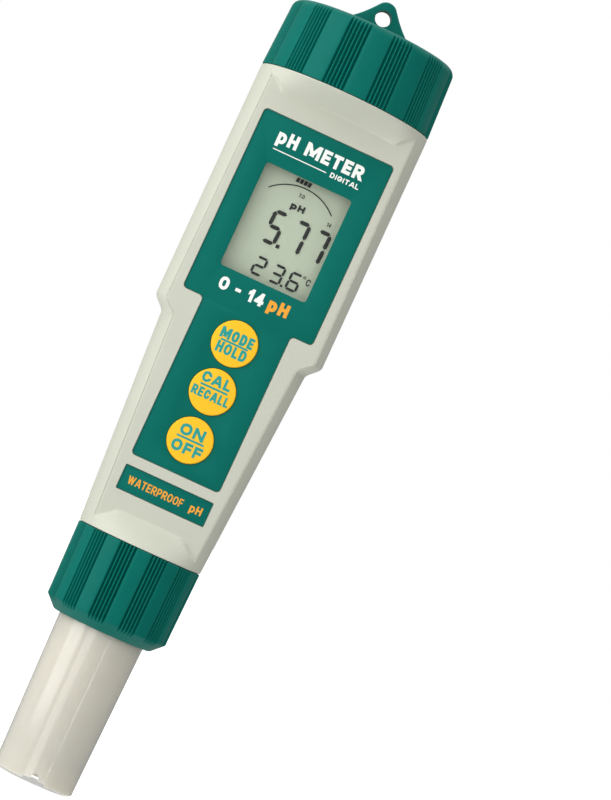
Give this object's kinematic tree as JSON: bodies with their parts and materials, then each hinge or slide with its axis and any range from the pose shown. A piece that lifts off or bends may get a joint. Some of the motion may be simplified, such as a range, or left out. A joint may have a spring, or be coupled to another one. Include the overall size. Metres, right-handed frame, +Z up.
{
  "type": "digital ph meter",
  "caption": "Pocket stick pH meter: tapered body with flat display front, round keys, screwed battery cap with lanyard lug, and a screwed-on electrode.",
  "frame": {"origin": "middle of the electrode's lower rim, which the meter stands on", "axes": "+Z up the meter's long axis towards the battery cap, -Y out of the display, +X to the right of someone who reads the display"},
  "size_m": [0.037, 0.037, 0.1729],
  "materials": {
    "housing_plastic": "fine-textured warm light grey ABS",
    "cap_plastic": "satin teal green polypropylene",
    "printed_film": "teal polyester film with white and orange print",
    "key_rubber": "yellow silicone rubber with teal print",
    "clear_acrylic": "clear flat acrylic",
    "display_glass": "grey green liquid crystal display",
    "dark_plastic": "black ABS",
    "connector_rubber": "pink silicone connector strip",
    "circuit_board": "green solder mask on glass epoxy",
    "chip_epoxy": "black moulded epoxy",
    "steel": "plain stainless steel",
    "gold_plate": "gold plate on brass",
    "seal_rubber": "black nitrile rubber",
    "neck_plastic": "grey ABS, as moulded",
    "electrode_plastic": "glossy cream ABS",
    "sensor_glass": "clear thin glass",
    "silver_wire": "chlorided silver wire",
    "porous_ceramic": "white porous ceramic"
  },
  "bodies": {
    "housing": {"front_housing": "housing_plastic", "rear_housing": "housing_plastic", "overlay_panel": "printed_film", "small_label": "printed_film", "lcd_window": "clear_acrylic", "lcd_glass": "display_glass", "lcd_frame": "dark_plastic", "zebra_upper": "connector_rubber", "zebra_lower": "connector_rubber", "main_pcb": "circuit_board", "microcontroller": "chip_epoxy", "amplifier_chip": "chip_epoxy", "crystal": "steel", "reference_capacitor": "porous_ceramic", "sensor_connector": "dark_plastic", "pcb_screw_1": "steel", "pcb_screw_2": "steel", "pcb_screw_3": "steel", "pcb_screw_4": "steel", "mode_switch": "dark_plastic", "cal_switch": "dark_plastic", "power_switch": "dark_plastic", "battery_neck": "neck_plastic", "battery_contact_plus": "gold_plate", "battery_contact_minus": "gold_plate", "battery_carrier": "dark_plastic", "coin_cell_1": "steel", "coin_cell_2": "steel", "coin_cell_3": "steel", "coin_cell_4": "steel", "neck_oring": "seal_rubber", "electrode_socket": "neck_plastic", "socket_contact_1": "gold_plate", "socket_contact_2": "gold_plate", "socket_contact_3": "gold_plate", "collar_seal": "seal_rubber"},
    "mode_button": {"mode_key": "key_rubber"},
    "cal_button": {"cal_key": "key_rubber"},
    "power_button": {"power_key": "key_rubber"},
    "cap_seal": {"cap_seal_washer": "seal_rubber"},
    "cap": {"battery_cap": "cap_plastic"},
    "electrode": {"electrode_tube": "electrode_plastic", "electrode_oring": "seal_rubber", "electrode_plug": "dark_plastic", "contact_pin_1": "gold_plate", "contact_pin_2": "gold_plate", "contact_pin_3": "gold_plate", "sensor_holder": "dark_plastic", "sensor_glass": "sensor_glass", "inner_silver_wire": "silver_wire", "outer_silver_wire": "silver_wire", "reference_junction": "porous_ceramic", "temperature_probe": "steel"},
    "collar": {"electrode_collar": "cap_plastic"}
  },
  "joints": [
    {"name": "mode_press", "type": "slide", "parent": "housing", "child": "mode_button", "axis": [0, 0.9998, 0.02], "range_m": [0, 0.00045], "stiffness_N_per_m": 1500, "springref_m": -0.0002},
    {"name": "cal_press", "type": "slide", "parent": "housing", "child": "cal_button", "axis": [0, 0.9998, 0.02], "range_m": [0, 0.00045], "stiffness_N_per_m": 1500, "springref_m": -0.0002},
    {"name": "power_press", "type": "slide", "parent": "housing", "child": "power_button", "axis": [0, 0.9998, 0.02], "range_m": [0, 0.00045], "stiffness_N_per_m": 1500, "springref_m": -0.0002},
    {"name": "cap_lift", "type": "slide", "parent": "housing", "child": "cap_seal", "axis": [0, 0, 1], "range_m": [0, 0.009]},
    {"name": "cap_twist", "type": "hinge", "parent": "cap_seal", "child": "cap", "pos_m": [0, 0, 0.151], "axis": [0, 0, 1], "range_deg": [0, 1080]},
    {"name": "electrode_draw", "type": "slide", "parent": "housing", "child": "electrode", "axis": [0, 0, -1], "range_m": [0, 0.0105]},
    {"name": "collar_twist", "type": "hinge", "parent": "electrode", "child": "collar", "pos_m": [0, 0, 0.036], "axis": [0, 0, -1], "range_deg": [0, 1260]}
  ],
  "couplings": [
    {"joint": "cap_lift", "follows": "cap_twist", "m_per_rad": 0.00047746},
    {"joint": "electrode_draw", "follows": "collar_twist", "m_per_rad": 0.00047746}
  ]
}
